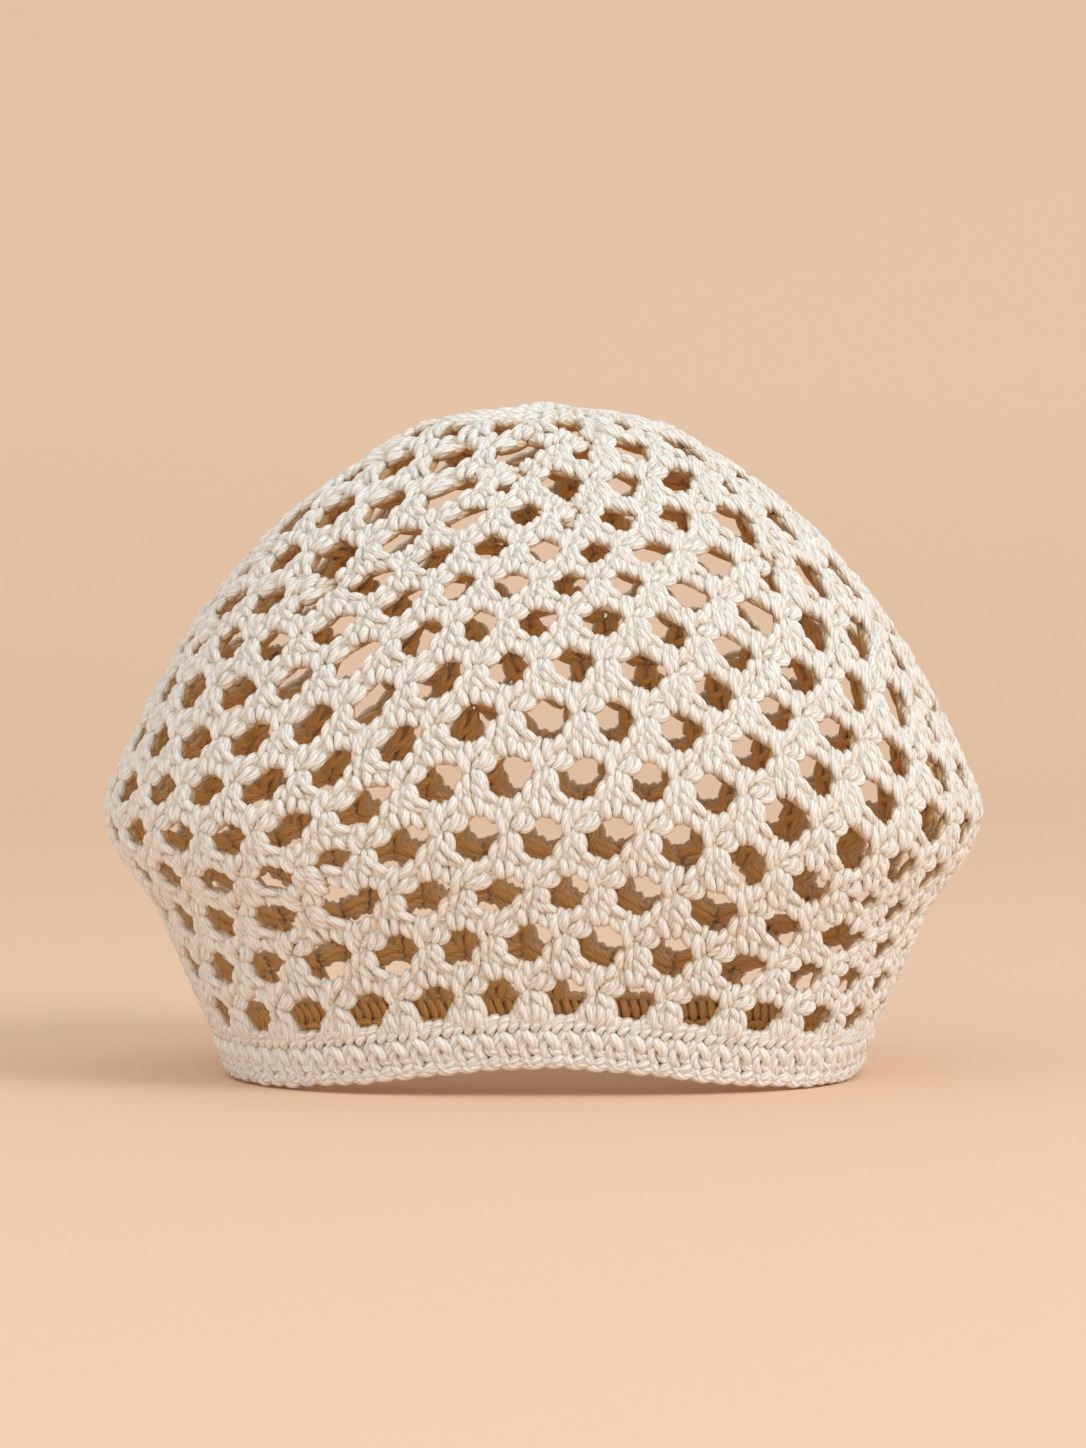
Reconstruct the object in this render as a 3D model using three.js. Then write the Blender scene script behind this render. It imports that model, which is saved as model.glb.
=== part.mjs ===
// A slouchy openwork hat, crocheted in the round from thick off-white cotton cord.
// Millimetres, +Z up. The front faces -Y and +X is to the right of it. The origin is on the surface
// that the hem rests on, under the middle of the hat.
//
// A place on the hat is given by its turn, its rise and its depth. Turn goes once round from 0 at the
// middle of the front, first towards +X. Rise is the way up the fabric from the hem, along the side of
// the hat. Depth is the way into the fabric from its outer face.

import * as THREE from "three";

// How far the fabric goes in from its outer face.
const NET_THICK = 5.4;
const BAND_THICK = 5.2;
const EDGE_THICK = 4.4;

// Where each piece starts and ends along the rise, with a small clearance between pieces.
const EDGE_TOP = 3.8;
const BAND_TOP = 15.2;
const CENTRE_RADIUS = 15;
const CLEARANCE = 0.3;

// The outer face at each height: half the width, half the depth, and how square the ring is, where 2 is
// an ellipse.
const OUTLINE = [
  { height: 0, halfWidth: 87.0, halfDepth: 75.0, square: 2.5 },
  { height: 10, halfWidth: 89.6, halfDepth: 77.0, square: 2.5 },
  { height: 22, halfWidth: 95.0, halfDepth: 80.0, square: 2.5 },
  { height: 34, halfWidth: 100.4, halfDepth: 83.5, square: 2.4 },
  { height: 47, halfWidth: 106.2, halfDepth: 87.5, square: 2.4 },
  { height: 60, halfWidth: 115.8, halfDepth: 91.5, square: 2.4 },
  { height: 71, halfWidth: 120.0, halfDepth: 93.5, square: 2.35 },
  { height: 81, halfWidth: 117.6, halfDepth: 93.0, square: 2.3 },
  { height: 95, halfWidth: 111.2, halfDepth: 90.5, square: 2.25 },
  { height: 111, halfWidth: 103.0, halfDepth: 86.0, square: 2.2 },
  { height: 126, halfWidth: 93.6, halfDepth: 79.5, square: 2.15 },
  { height: 140, halfWidth: 82.6, halfDepth: 71.5, square: 2.1 },
  { height: 153, halfWidth: 70.0, halfDepth: 62.0, square: 2.05 },
  { height: 164, halfWidth: 56.0, halfDepth: 51.0, square: 2 },
  { height: 173.5, halfWidth: 41.5, halfDepth: 39.0, square: 2 },
  { height: 180, halfWidth: 26.0, halfDepth: 25.0, square: 2 },
  { height: 183, halfWidth: 0.01, halfDepth: 0.01, square: 2 },
];

// The hem arches clear of the surface in front and lifts a little at each side. Angles are in degrees
// from the middle of the front, and the lift dies away between two rises.
const HEM_LIFTS = [
  { middle: 0, halfSpan: 57, lift: 7.3, fadeFrom: 70, fadeTo: 175 },
  { middle: 90, halfSpan: 26, lift: 2.4, fadeFrom: 10, fadeTo: 60 },
  { middle: -90, halfSpan: 26, lift: 1.2, fadeFrom: 10, fadeTo: 60 },
];

// The rounds sag at each side of the hat, most of all between two rises, and lie level at the band and
// at the centre of the crown.
const SIDE_SAGS = [
  { middle: 90, sag: 27, from: 35, fullFrom: 135, fullTo: 180, to: 245 },
  { middle: -90, sag: 22, from: 45, fullFrom: 135, fullTo: 180, to: 245 },
];

// The rounds of gaps, from the band up: where the middle of the round is, how many gaps it has, and
// the width and height of one gap.
const ROUNDS = [
  { rise: 33, gaps: 18, width: 18.5, height: 15.5 },
  { rise: 63, gaps: 21, width: 19.0, height: 17.0 },
  { rise: 94, gaps: 21, width: 18.5, height: 17.0 },
  { rise: 125, gaps: 19, width: 18.0, height: 17.0 },
  { rise: 156, gaps: 16, width: 17.5, height: 16.5 },
  { rise: 187, gaps: 12, width: 16.0, height: 15.5 },
  { rise: 215, gaps: 8, width: 11.5, height: 11.0 },
];
const GAP_SIDES = 8;
const GAP_EASE = 1.3; // how much wider a gap is at each face than in the middle of the fabric

// The band's section, a ring of three rows of stitches, and the hem edge's, a plump cord with a flat foot.
const BAND_SECTION = [
  { up: 0.0, depth: 1.1 },
  { up: 0.12, depth: 0.2 },
  { up: 0.3, depth: 0.75 },
  { up: 0.5, depth: 0.0 },
  { up: 0.7, depth: 0.75 },
  { up: 0.88, depth: 0.2 },
  { up: 1.0, depth: 1.1 },
];
const EDGE_SECTION = [
  { up: 0.0, depth: 0.18 },
  { up: 0.35, depth: 0.0 },
  { up: 0.75, depth: 0.05 },
  { up: 1.0, depth: 0.25 },
  { up: 1.0, depth: 0.8 },
  { up: 0.6, depth: 1.0 },
  { up: 0.0, depth: 0.82 },
];
const EDGE_STITCHES = 60;
const EDGE_PINCH = 0.35; // how far the hem edge draws in between two of its stitches
const BAND_STEPS = 90;

// The closed centre of the crown: rings out from the middle, with a small knot of stitches on top.
const CENTRE_RINGS = [
  { radius: 1.0, bump: 0.1 },
  { radius: 0.72, bump: 0.6 },
  { radius: 0.42, bump: 0.2 },
  { radius: 0.2, bump: 0.9 },
];
const CENTRE_KNOT = 1.6; // how far the middle stands up
const CENTRE_STEPS = 30;
const CENTRE_THICK = 5.0;

// The fabric's depth runs level at the band, and square to the fabric from here up.
const LEVEL_UP_TO = 16;
const SQUARE_FROM = 46;

// Stitches crowd a little at the sides and spread over the flatter front and back.
const FRONT_SPREAD = 0.08;

const TURN = 2 * Math.PI;
const DEGREE = Math.PI / 180;
const SLOPE_STEP = 0.002; // the step in turn for a slope
const RISE_STEP = 0.4; // the step in rise for a slope
const OUTLINE_SAMPLES = 25; // for each row of the outline
const ROUND_SAMPLES = 72;

function smooth(share) {
  const t = Math.min(1, Math.max(0, share));
  return t * t * (3 - 2 * t);
}

// A smooth line through four values, between the middle two.
function through(a, b, c, d, t) {
  const bend = 2 * b - 2 * c + (c - a) / 2 + (d - b) / 2;
  const lean = -3 * b + 3 * c - (c - a) - (d - b) / 2;
  return ((bend * t + lean) * t + (c - a) / 2) * t + b;
}

// The outline as close samples, each with its rise along the side of the hat.
function sampleOutline() {
  const samples = [];
  const last = OUTLINE.length - 1;
  for (let row = 0; row < last; row += 1) {
    const four = [row - 1, row, row + 1, row + 2].map((i) => OUTLINE[Math.min(last, Math.max(0, i))]);
    for (let step = 0; step < OUTLINE_SAMPLES; step += 1) {
      const t = step / OUTLINE_SAMPLES;
      const sample = {};
      for (const key of ["height", "halfWidth", "halfDepth", "square"]) {
        sample[key] = through(four[0][key], four[1][key], four[2][key], four[3][key], t);
      }
      samples.push(sample);
    }
  }
  samples.push({ ...OUTLINE[last] });
  let rise = 0;
  samples.forEach((sample, i) => {
    const before = samples[Math.max(0, i - 1)];
    rise += Math.hypot(sample.halfWidth - before.halfWidth, sample.height - before.height);
    sample.rise = rise;
  });
  return samples;
}

const SAMPLES = sampleOutline();
const FULL_RISE = SAMPLES[SAMPLES.length - 1].rise;
const NET_TOP = FULL_RISE - CENTRE_RADIUS;

// The outline's values at a rise.
function outlineAt(rise) {
  const at = Math.min(FULL_RISE, Math.max(0, rise));
  let i = SAMPLES.findIndex((sample) => sample.rise >= at);
  i = Math.max(1, i);
  const low = SAMPLES[i - 1];
  const high = SAMPLES[i];
  const t = (at - low.rise) / (high.rise - low.rise);
  const mixed = {};
  for (const key of ["height", "halfWidth", "halfDepth", "square"]) {
    mixed[key] = low[key] + (high[key] - low[key]) * t;
  }
  return mixed;
}

function angleOf(turn) {
  const even = turn * TURN;
  return even + (FRONT_SPREAD / 2) * Math.sin(2 * even);
}

function liftAt(angle, rise) {
  let lift = 0;
  for (const row of HEM_LIFTS) {
    const turned = angle - row.middle * DEGREE;
    const away = Math.abs(Math.atan2(Math.sin(turned), Math.cos(turned)));
    const share = smooth(1 - away / (row.halfSpan * DEGREE));
    const fade = smooth((rise - row.fadeFrom) / (row.fadeTo - row.fadeFrom));
    lift += row.lift * share * (1 - fade);
  }
  return lift;
}

function sagAt(angle, rise) {
  let sag = 0;
  for (const row of SIDE_SAGS) {
    const facing = Math.max(0, Math.cos(angle - row.middle * DEGREE));
    const grown = smooth((rise - row.from) / (row.fullFrom - row.from));
    const fade = smooth((rise - row.fullTo) / (row.to - row.fullTo));
    sag += row.sag * facing ** 2 * grown * (1 - fade);
  }
  return sag;
}

// A point on the outer face.
function facePoint(turn, rise) {
  const angle = angleOf(turn);
  const row = outlineAt(rise + liftAt(angle, rise) - sagAt(angle, rise));
  const across = Math.abs(Math.sin(angle)) / row.halfWidth;
  const along = Math.abs(Math.cos(angle)) / row.halfDepth;
  const reach = (across ** row.square + along ** row.square) ** (-1 / row.square);
  return new THREE.Vector3(reach * Math.sin(angle), -reach * Math.cos(angle), row.height);
}

// The way out of the fabric, level at the band and square to the face further up.
function outwardAt(turn, rise) {
  const low = Math.min(rise, NET_TOP + CENTRE_RADIUS / 2);
  const side = facePoint(turn + SLOPE_STEP, low).sub(facePoint(turn - SLOPE_STEP, low));
  const up = facePoint(turn, low + RISE_STEP).sub(facePoint(turn, Math.max(0, low - RISE_STEP)));
  const out = side.cross(up).normalize();
  out.z *= smooth((rise - LEVEL_UP_TO) / (SQUARE_FROM - LEVEL_UP_TO));
  return out.normalize();
}

function fabricPoint(turn, rise, depth) {
  return facePoint(turn, rise).addScaledVector(outwardAt(turn, rise), -depth);
}

// The length once round the outer face at a rise.
function roundLength(rise) {
  let length = 0;
  for (let i = 0; i < ROUND_SAMPLES; i += 1) {
    const from = facePoint(i / ROUND_SAMPLES, rise);
    length += from.distanceTo(facePoint((i + 1) / ROUND_SAMPLES, rise));
  }
  return length;
}

// Gathers points and triangles into one mesh.
class Body {
  constructor() {
    this.places = [];
    this.corners = [];
  }

  point(place) {
    this.places.push(place.x, place.y, place.z);
    return this.places.length / 3 - 1;
  }

  triangle(a, b, c) {
    this.corners.push(a, b, c);
  }

  quad(a, b, c, d) {
    this.triangle(a, b, c);
    this.triangle(a, c, d);
  }

  mesh(name, colour, roughness) {
    const geometry = new THREE.BufferGeometry();
    geometry.setAttribute("position", new THREE.Float32BufferAttribute(this.places, 3));
    geometry.setIndex(this.corners);
    geometry.computeVertexNormals();
    const material = new THREE.MeshStandardMaterial({ color: colour, roughness, metalness: 0 });
    const mesh = new THREE.Mesh(geometry, material);
    mesh.name = name;
    return mesh;
  }
}

// A closed ring with the same section all the way round. The section runs up the outer face and down
// the inner one, and placeAt gives the place of one of its points at a step.
function ring(steps, section, placeAt) {
  const body = new Body();
  const loops = [];
  for (let step = 0; step < steps; step += 1) {
    loops.push(section.map((row) => body.point(placeAt(step, row))));
  }
  for (let step = 0; step < steps; step += 1) {
    const here = loops[step];
    const next = loops[(step + 1) % steps];
    for (let i = 0; i < section.length; i += 1) {
      const j = (i + 1) % section.length;
      body.quad(here[i], next[i], next[j], here[j]);
    }
  }
  return body;
}

function makeHemEdge() {
  const steps = EDGE_STITCHES * 2;
  return ring(steps, EDGE_SECTION, (step, row) => {
    const isPinched = step % 2 === 1 && row.depth < 0.5 && row.up > 0;
    const depth = EDGE_THICK * row.depth + (isPinched ? EDGE_PINCH : 0);
    return fabricPoint(step / steps, EDGE_TOP * row.up, depth);
  });
}

function makeBand() {
  const low = EDGE_TOP + CLEARANCE;
  const high = BAND_TOP;
  const inner = BAND_SECTION.map((row) => ({ up: row.up, depth: BAND_THICK - row.depth })).reverse();
  return ring(BAND_STEPS, [...BAND_SECTION, ...inner], (step, row) => {
    return fabricPoint(step / BAND_STEPS, low + (high - low) * row.up, row.depth);
  });
}

// The middle of each gap of a round. Every other round is half a gap further on.
function gapMiddles(index) {
  const round = ROUNDS[index];
  const shift = index % 2 === 0 ? 0 : 0.5;
  const turns = Array.from({ length: round.gaps }, (_, i) => (i + shift) / round.gaps);
  return turns.map((turn) => ({ turn, rise: round.rise }));
}

// The knots between two neighbouring rounds of gaps, one where each three gaps meet.
function knotsBetween(lower, upper, lowerIndex) {
  const knots = [];
  let i = 0;
  let j = 0;
  const lowerTurn = (n) => lower[n % lower.length].turn + Math.floor(n / lower.length);
  const upperTurn = (n) => upper[n % upper.length].turn + Math.floor(n / upper.length);
  while (i < lower.length || j < upper.length) {
    const lowerNext = lowerTurn(i) + lowerTurn(i + 1);
    const upperNext = upperTurn(j) + upperTurn(j + 1);
    const takesLower = j >= upper.length || (i < lower.length && lowerNext <= upperNext);
    const turns = [lowerTurn(i), upperTurn(j), takesLower ? lowerTurn(i + 1) : upperTurn(j + 1)];
    const rises = [lower[0].rise, upper[0].rise, takesLower ? lower[0].rise : upper[0].rise];
    const touches = [`${lowerIndex}:${i % lower.length}`, `${lowerIndex + 1}:${j % upper.length}`];
    if (takesLower) {
      i += 1;
      touches.push(`${lowerIndex}:${i % lower.length}`);
    } else {
      j += 1;
      touches.push(`${lowerIndex + 1}:${j % upper.length}`);
    }
    knots.push({
      turn: (turns[0] + turns[1] + turns[2]) / 3,
      rise: (rises[0] + rises[1] + rises[2]) / 3,
      touches,
    });
  }
  return knots;
}

// The knots along the net's lower or upper rim, two for each gap of the round beside it.
function rimKnots(middles, index, rise) {
  const half = 0.5 / middles.length;
  return middles.flatMap((middle, i) => [
    { turn: middle.turn, rise, touches: [`${index}:${i}`] },
    { turn: middle.turn + half, rise, touches: [`${index}:${i}`, `${index}:${(i + 1) % middles.length}`] },
  ]);
}

// Joins two loops round the same middle, each a list of { angle, id } in the order of its angles.
function joinLoops(body, outer, inner, isOuterFace) {
  let i = 0;
  let j = 0;
  const angleOn = (loop, n) => loop[n % loop.length].angle + TURN * Math.floor(n / loop.length);
  while (i < outer.length || j < inner.length) {
    const outerIsNext = i < outer.length && angleOn(outer, i + 1) <= angleOn(inner, j + 1);
    const takesOuter = j >= inner.length || outerIsNext;
    const a = outer[i % outer.length].id;
    const b = inner[j % inner.length].id;
    const c = takesOuter ? outer[(i + 1) % outer.length].id : inner[(j + 1) % inner.length].id;
    if (isOuterFace) {
      body.triangle(a, c, b);
    } else {
      body.triangle(a, b, c);
    }
    i += takesOuter ? 1 : 0;
    j += takesOuter ? 0 : 1;
  }
}

function makeNet() {
  const body = new Body();
  const rounds = ROUNDS.map((_, index) => gapMiddles(index));
  const last = rounds.length - 1;
  const knots = [...rimKnots(rounds[0], 0, BAND_TOP + CLEARANCE), ...rimKnots(rounds[last], last, NET_TOP)];
  for (let index = 0; index < last; index += 1) {
    knots.push(...knotsBetween(rounds[index], rounds[index + 1], index));
  }
  for (const knot of knots) {
    knot.outer = body.point(fabricPoint(knot.turn, knot.rise, 0));
    knot.inner = body.point(fabricPoint(knot.turn, knot.rise, NET_THICK));
  }
  rounds.forEach((middles, index) => {
    const round = ROUNDS[index];
    const length = roundLength(round.rise);
    middles.forEach((middle, i) => {
      const corners = cornersOf(knots, middle, `${index}:${i}`, length);
      addGap(body, middle, round, length, corners);
    });
  });
  return body;
}

// The knots round one gap, in the order of their angles.
function cornersOf(knots, middle, gapName, length) {
  const corners = knots
    .filter((knot) => knot.touches.includes(gapName))
    .map((knot) => {
      const away = knot.turn - middle.turn;
      const across = (away - Math.round(away)) * length;
      return { knot, angle: Math.atan2(knot.rise - middle.rise, across) };
    });
  return corners.sort((a, b) => a.angle - b.angle);
}

// One gap: its rim on the outer face, at half depth and on the inner face, joined to the knots round it.
function addGap(body, middle, round, length, corners) {
  const levels = [
    { depth: 0, ease: GAP_EASE },
    { depth: NET_THICK / 2, ease: 0 },
    { depth: NET_THICK, ease: GAP_EASE },
  ];
  const rims = levels.map((level) => {
    return Array.from({ length: GAP_SIDES }, (_, i) => {
      const angle = -Math.PI + (TURN * (i + 0.5)) / GAP_SIDES;
      const across = (round.width / 2 + level.ease) * Math.cos(angle);
      const up = (round.height / 2 + level.ease) * Math.sin(angle);
      const place = fabricPoint(middle.turn + across / length, middle.rise + up, level.depth);
      return { angle: Math.atan2(up, across), id: body.point(place) };
    });
  });
  const outerCorners = corners.map((corner) => ({ angle: corner.angle, id: corner.knot.outer }));
  const innerCorners = corners.map((corner) => ({ angle: corner.angle, id: corner.knot.inner }));
  joinLoops(body, outerCorners, rims[0], true);
  joinLoops(body, innerCorners, rims[2], false);
  for (let level = 0; level < 2; level += 1) {
    for (let i = 0; i < GAP_SIDES; i += 1) {
      const j = (i + 1) % GAP_SIDES;
      body.quad(rims[level][i].id, rims[level][j].id, rims[level + 1][j].id, rims[level + 1][i].id);
    }
  }
  addRimWall(body, corners);
}

// The net's own rim, between the two faces, where a gap's knots lie on it.
function addRimWall(body, corners) {
  corners.forEach((corner, i) => {
    const next = corners[(i + 1) % corners.length];
    const isLowRim = corner.knot.rise === BAND_TOP + CLEARANCE && next.knot.rise === corner.knot.rise;
    const isHighRim = corner.knot.rise === NET_TOP && next.knot.rise === corner.knot.rise;
    if (isLowRim || isHighRim) {
      body.quad(next.knot.outer, corner.knot.outer, corner.knot.inner, next.knot.inner);
    }
  });
}

function makeCentre() {
  const body = new Body();
  const size = CENTRE_RADIUS - CLEARANCE;
  const faces = [0, CENTRE_THICK].map((depth) => {
    return CENTRE_RINGS.map((row) => {
      return Array.from({ length: CENTRE_STEPS }, (_, step) => {
        const place = fabricPoint(step / CENTRE_STEPS, FULL_RISE - size * row.radius, depth);
        place.z += depth === 0 ? row.bump : 0;
        return body.point(place);
      });
    });
  });
  const top = facePoint(0, FULL_RISE).z;
  const tops = [top + CENTRE_KNOT, top - CENTRE_THICK].map((z) => body.point(new THREE.Vector3(0, 0, z)));
  for (let step = 0; step < CENTRE_STEPS; step += 1) {
    const next = (step + 1) % CENTRE_STEPS;
    for (let i = 0; i + 1 < CENTRE_RINGS.length; i += 1) {
      body.quad(faces[0][i][step], faces[0][i][next], faces[0][i + 1][next], faces[0][i + 1][step]);
      body.quad(faces[1][i + 1][step], faces[1][i + 1][next], faces[1][i][next], faces[1][i][step]);
    }
    const innermost = CENTRE_RINGS.length - 1;
    body.triangle(faces[0][innermost][step], faces[0][innermost][next], tops[0]);
    body.triangle(faces[1][innermost][next], faces[1][innermost][step], tops[1]);
    body.quad(faces[1][0][step], faces[1][0][next], faces[0][0][next], faces[0][0][step]);
  }
  return body;
}

const COTTON = 0xe9dfcf;
const COTTON_ROUGHNESS = 0.92;

const hat = new THREE.Group();
hat.add(makeHemEdge().mesh("hem_edge", COTTON, COTTON_ROUGHNESS));
hat.add(makeBand().mesh("band", COTTON, COTTON_ROUGHNESS));
hat.add(makeNet().mesh("crown_net", COTTON, COTTON_ROUGHNESS));
hat.add(makeCentre().mesh("crown_centre", COTTON, COTTON_ROUGHNESS));

export default hat;
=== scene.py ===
# A crocheted openwork hat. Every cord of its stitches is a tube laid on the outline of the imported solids.
#
# A place on the hat is given by its turn, its rise and its depth, as in the solids: turn goes once round
# from 0 at the middle of the front, rise is the way up the fabric from the hem in millimetres, and depth
# is the way into the fabric from its outer face.

import math
import random

import bpy
import numpy as np
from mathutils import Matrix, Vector


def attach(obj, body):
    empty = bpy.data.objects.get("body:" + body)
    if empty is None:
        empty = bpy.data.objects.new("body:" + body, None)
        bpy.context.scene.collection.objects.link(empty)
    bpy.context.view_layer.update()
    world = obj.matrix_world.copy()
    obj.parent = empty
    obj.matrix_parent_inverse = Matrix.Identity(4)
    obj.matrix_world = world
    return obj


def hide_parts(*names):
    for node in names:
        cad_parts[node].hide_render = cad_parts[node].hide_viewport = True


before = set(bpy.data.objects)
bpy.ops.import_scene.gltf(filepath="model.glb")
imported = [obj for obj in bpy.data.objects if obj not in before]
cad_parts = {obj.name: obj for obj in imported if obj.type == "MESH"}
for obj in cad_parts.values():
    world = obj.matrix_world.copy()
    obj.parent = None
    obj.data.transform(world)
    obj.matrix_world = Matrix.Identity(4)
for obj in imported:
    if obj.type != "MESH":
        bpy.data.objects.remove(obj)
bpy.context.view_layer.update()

MM = 0.001
TURN = 2 * math.pi
SEED = 11
chance = random.Random(SEED)

# The outer face at each height: half the width, half the depth, and how square the ring is.
OUTLINE_COLUMNS = ("height", "half_width", "half_depth", "square")
OUTLINE = [
    (0, 87.0, 75.0, 2.5),
    (10, 89.6, 77.0, 2.5),
    (22, 95.0, 80.0, 2.5),
    (34, 100.4, 83.5, 2.4),
    (47, 106.2, 87.5, 2.4),
    (60, 115.8, 91.5, 2.4),
    (71, 120.0, 93.5, 2.35),
    (81, 117.6, 93.0, 2.3),
    (95, 111.2, 90.5, 2.25),
    (111, 103.0, 86.0, 2.2),
    (126, 93.6, 79.5, 2.15),
    (140, 82.6, 71.5, 2.1),
    (153, 70.0, 62.0, 2.05),
    (164, 56.0, 51.0, 2),
    (173.5, 41.5, 39.0, 2),
    (180, 26.0, 25.0, 2),
    (183, 0.01, 0.01, 2),
]
OUTLINE_SAMPLES = 25

# The hem arches clear of the surface in front and lifts a little at each side.
HEM_LIFTS = [
    {"middle": 0, "half_span": 57, "lift": 7.3, "fade_from": 70, "fade_to": 175},
    {"middle": 90, "half_span": 26, "lift": 2.4, "fade_from": 10, "fade_to": 60},
    {"middle": -90, "half_span": 26, "lift": 1.2, "fade_from": 10, "fade_to": 60},
]
# The rounds sag at each side of the hat: in degrees round from the middle of the front or the back, where
# the sag starts and is full, and the rises between which it grows and fades.
SIDE_SAGS = [
    {
        "side": 1, "sag": 29, "starts": 12, "full": 78,
        "from": 10, "full_from": 90, "full_to": 125, "to": 190,
    },
    {
        "side": -1, "sag": 18, "starts": 10, "full": 52,
        "from": 14, "full_from": 125, "full_to": 170, "to": 245,
    },
]
# How much wider than evenly the turns are spaced at the front and the back, and narrower at the sides.
FRONT_SPREAD = 0.08
# The fabric's depth is level up to one rise, and from another on it is square to the outer face.
LEVEL_UP_TO = 16
SQUARE_FROM = 46
NET_FOOT = 13.5  # the rise at which the first round's posts are worked into the band
NET_CLOSES = 228.0  # the rise at which the last round's posts meet the close stitches of the crown
CENTRE_RADIUS = 15
# How far to each side the face is felt for its direction, as a share of a turn and in mm of rise.
FEEL = {"turn": 0.002, "rise": 0.4}
ROUND_STEPS = 72  # the steps in which a round is measured
LENGTH_SAMPLES = 120

# The rounds of mesh holes from the band up, by the rise of a round's middle. A hole stands over the middle
# between two of the round below, but where a round adds a hole or drops one, in degrees from the front.
FIRST_ROUND = {"holes": 32, "phase": 0.33}
ROUNDS = [
    {"rise": 18.6, "adds": (), "drops": ()},
    {"rise": 33.8, "adds": (), "drops": ()},
    {"rise": 50.4, "adds": (), "drops": ()},
    {"rise": 68.0, "adds": (-32, 50, 145, -140), "drops": ()},
    {"rise": 85.0, "adds": (), "drops": ()},
    {"rise": 102.0, "adds": (), "drops": ()},
    {"rise": 118.6, "adds": (), "drops": (180,)},
    {"rise": 134.4, "adds": (), "drops": (120, -115, -150)},
    {"rise": 148.8, "adds": (), "drops": (160, -165, 75)},
    {"rise": 161.6, "adds": (), "drops": (95, -88, 130, -130)},
    {"rise": 174.6, "adds": (), "drops": (65, -70, 180)},
    {"rise": 188.8, "adds": (), "drops": (25, -110, 115)},
    {"rise": 204.6, "adds": (), "drops": (0, 75, 150, -130)},
    {"rise": 220.6, "adds": (), "drops": (40, 180, -100)},
]
# How far the columns of holes lean out from where a round slopes, and how a round evens out its spacing.
COLUMN_LEAN = 0.4
EVENING = {"passes": 14, "share": 0.25}
# The net is made in pieces, each of the rounds from one on up to another.
NET_PIECES = [
    ("net_low", 0, 2),
    ("net_lower_bulge", 2, 4),
    ("net_bulge", 4, 6),
    ("net_middle", 6, 8),
    ("net_high", 8, 10),
    ("net_top", 10, 14),
]

# The mesh charts' unit is a pixel of the photograph at the front of the hat, low down, where a hole is
# CHART_HOLE from the next one in its round and CHART_ROW from the round above.
PIXELS_PER_MM = 3.64
UNIT = 1 / PIXELS_PER_MM
CHART_HOLE = 69.0
CHART_ROW = 51.7
CORD = 1.2  # the cord's radius

# One stitch of the mesh, charted as the cords that show. Each row has the cord's places, in units
# across and up from the strut's start, its depth in mm, its thickness for CORD, and how far in mm its two
# ends tuck in.
POST_CHART = [
    {
        "path": [(-4.5, -2), (-6.5, -9), (-6.5, -15), (-4.5, -21)],
        "depth": 0.9, "thick": 1.0, "tuck": (1.2, 1.2),
    },
    {"path": [(1, -2), (2, -9), (3, -17)], "depth": 1.05, "thick": 1.0, "tuck": (1.0, 1.2)},
    {"path": [(6, -3), (10.5, -9), (13.5, -18)], "depth": 0.7, "thick": 1.06, "tuck": (1.2, 1.0)},
    {"path": [(4, -9), (8, -14), (14, -22)], "depth": 0.2, "thick": 1.0, "tuck": (1.2, 1.1)},
    {"path": [(-1, -16), (4, -22), (11, -29)], "depth": 0.5, "thick": 1.0, "tuck": (1.2, 1.2)},
    {"path": [(1.5, -24), (3.5, -33), (3.5, -41)], "depth": 0.5, "thick": 1.08, "tuck": (1.1, 1.1)},
    {"path": [(-10, -26), (-6.5, -35), (-2.5, -42)], "depth": 0.5, "thick": 1.08, "tuck": (1.2, 1.1)},
    {"path": [(-12, -11), (-15.5, -19), (-15, -30)], "depth": 1.2, "thick": 1.1, "tuck": (1.0, 1.2)},
    {"path": [(-10, -14), (-8, -21), (-4, -28)], "depth": 1.5, "thick": 1.0, "tuck": (0.6, 0.6)},
    {"path": [(-15, -29), (-12, -37), (-8, -43)], "depth": 2.0, "thick": 1.05, "tuck": (0.4, 0.4)},
]
# The posts of the first round, which spread where they are worked into the band.
FOOT_CHART = [
    {"path": [(-4.5, -2), (-6.5, -8), (-5, -16)], "depth": 0.9, "thick": 1.0, "tuck": (1.2, 1.2)},
    {"path": [(1, -3), (7, -9), (13, -17)], "depth": 0.35, "thick": 1.0, "tuck": (1.2, 1.2)},
    {"path": [(7, -3), (12, -9), (16, -18), (18, -26)], "depth": 0.9, "thick": 1.05, "tuck": (1.2, 1.2)},
    {
        "path": [(-11, -11), (-10, -20), (-5, -29), (-1, -36)],
        "depth": 0.7, "thick": 1.05, "tuck": (1.2, 1.2),
    },
    {"path": [(-14, -14), (-16, -24), (-10, -36)], "depth": 1.05, "thick": 1.05, "tuck": (1.0, 1.2)},
    {"path": [(-5, -13), (-3, -21), (0, -29)], "depth": 1.05, "thick": 1.0, "tuck": (1.0, 1.0)},
    {"path": [(3, -13), (6, -24), (4, -35)], "depth": 0.35, "thick": 1.08, "tuck": (1.2, 1.2)},
    {"path": [(10, -16), (13, -26), (12, -36)], "depth": 0.5, "thick": 1.08, "tuck": (1.2, 1.2)},
    {"path": [(-18, -21), (-20, -30), (-17, -38)], "depth": 1.2, "thick": 1.05, "tuck": (1.0, 1.2)},
    {"path": [(18, -23), (20, -31), (18, -38)], "depth": 1.05, "thick": 1.05, "tuck": (1.0, 1.2)},
    {"path": [(25, -27), (28, -32), (26, -38)], "depth": 1.7, "thick": 1.0, "tuck": (0.8, 0.8)},
    {"path": [(-25, -27), (-28, -33), (-25, -38)], "depth": 1.7, "thick": 1.0, "tuck": (0.8, 0.8)},
]
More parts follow.
